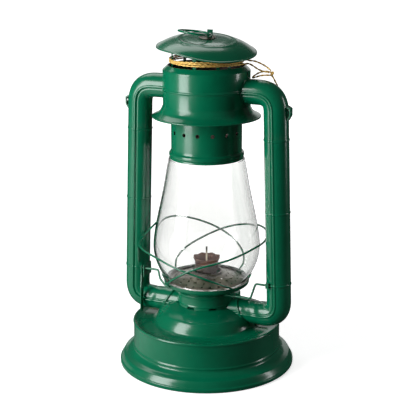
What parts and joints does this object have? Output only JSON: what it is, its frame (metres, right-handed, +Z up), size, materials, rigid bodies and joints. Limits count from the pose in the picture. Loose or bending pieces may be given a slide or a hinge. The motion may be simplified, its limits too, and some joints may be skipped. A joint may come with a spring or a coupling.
{
  "type": "oil lamp",
  "caption": "Tubular hurricane lantern: round tank, two side tubes, pear globe in a wire guard, lifting canopy with tilted cap and a tied string.",
  "frame": {"origin": "middle of the foot's rim, on the surface that the lantern stands on", "axes": "+Z up the lantern, +X through the side tube opposite the lift lever, -Y towards the front"},
  "size_m": [0.2, 0.196, 0.3738],
  "materials": {
    "enamel": "glossy deep green enamel over stamped tinplate",
    "tinplate": "dull unpainted tinplate",
    "bare_steel": "grey bare steel, slightly stained",
    "sooty_steel": "burner metal browned by heat and soot",
    "brass": "dull yellow metal",
    "glass": "clear blown glass",
    "wick_cotton": "woven flat cotton, charred at the tip",
    "gasket": "black rubber",
    "gold_string": "two-ply twisted gold thread"
  },
  "bodies": {
    "frame": {"tank_foot": "enamel", "tank_body": "enamel", "tank_bottom": "tinplate", "tank_dome": "enamel", "filler_neck": "enamel", "lower_elbow_left": "enamel", "lower_elbow_right": "enamel", "side_tube_left": "enamel", "side_tube_right": "enamel", "upper_elbow_left": "enamel", "upper_elbow_right": "enamel", "tube_rings_left": "enamel", "tube_rings_right": "enamel", "bail_ear_left": "enamel", "bail_ear_right": "enamel", "burner_collar": "enamel", "burner_plate": "sooty_steel", "burner_body": "sooty_steel", "burner_cone": "sooty_steel", "wick_tube": "sooty_steel", "hood": "enamel", "hood_guide_ring": "tinplate", "lever_guide": "enamel", "crank_bracket": "tinplate", "crank_bearing": "enamel", "canopy_spring": "bare_steel"},
    "globe_carrier": {"globe_plate": "enamel", "draught_plate": "bare_steel", "draught_collar": "brass", "globe": "glass", "guard_left": "enamel", "guard_right": "enamel"},
    "canopy": {"perforated_chimney": "enamel", "cap_legs": "enamel", "cap": "enamel", "ring_staple": "enamel", "string_coil": "gold_string", "string_knot": "gold_string", "string_strand_over": "gold_string", "string_strand_under": "gold_string", "string_bow": "gold_string", "string_tail": "gold_string"},
    "lift_ring": {"lift_ring": "enamel"},
    "crank": {"lift_crank": "enamel", "lift_lever": "enamel"},
    "wick": {"wick": "wick_cotton"},
    "wick_spindle": {"wick_shaft": "bare_steel", "wick_wheels": "bare_steel", "wick_knob": "bare_steel"},
    "filler_gasket": {"filler_gasket": "gasket"},
    "filler_cap": {"filler_cap": "enamel"}
  },
  "joints": [
    {"name": "globe_lift", "type": "slide", "parent": "frame", "child": "globe_carrier", "axis": [0, 0, 1], "range_m": [0, 0.0101]},
    {"name": "crank_turn", "type": "hinge", "parent": "frame", "child": "crank", "pos_m": [0, -0.013, 0.1025], "axis": [1, 0, 0], "range_deg": [-50, 0]},
    {"name": "canopy_lift", "type": "slide", "parent": "globe_carrier", "child": "canopy", "axis": [0, 0, 1], "range_m": [0, 0.015], "stiffness_N_per_m": 60, "springref_m": -0.02, "deforming": ["canopy_spring"]},
    {"name": "ring_fold", "type": "hinge", "parent": "canopy", "child": "lift_ring", "pos_m": [0.00399, -0.00042, 0.36831], "axis": [-0.4067, 0.9134, -0.02], "range_deg": [0, 150]},
    {"name": "wick_lift", "type": "slide", "parent": "frame", "child": "wick", "axis": [0, 0, 1], "range_m": [-0.01205, 0.00405]},
    {"name": "knob_turn", "type": "hinge", "parent": "frame", "child": "wick_spindle", "pos_m": [-0.00379, -0.00169, 0.077], "axis": [-0.4067, 0.9135, 0], "range_deg": [-72.12, 215.36]},
    {"name": "filler_lift", "type": "slide", "parent": "frame", "child": "filler_gasket", "axis": [0, 0, 1], "range_m": [0, 0.0026]},
    {"name": "filler_turn", "type": "hinge", "parent": "filler_gasket", "child": "filler_cap", "pos_m": [0, 0.0705, 0.05], "axis": [0, 0, 1], "range_deg": [0, 300]}
  ],
  "couplings": [
    {"joint": "crank_turn", "follows": "globe_lift", "rad_per_m": -86.394},
    {"joint": "wick_lift", "follows": "knob_turn", "m_per_rad": -0.0032},
    {"joint": "filler_lift", "follows": "filler_turn", "m_per_rad": 0.00047746}
  ]
}
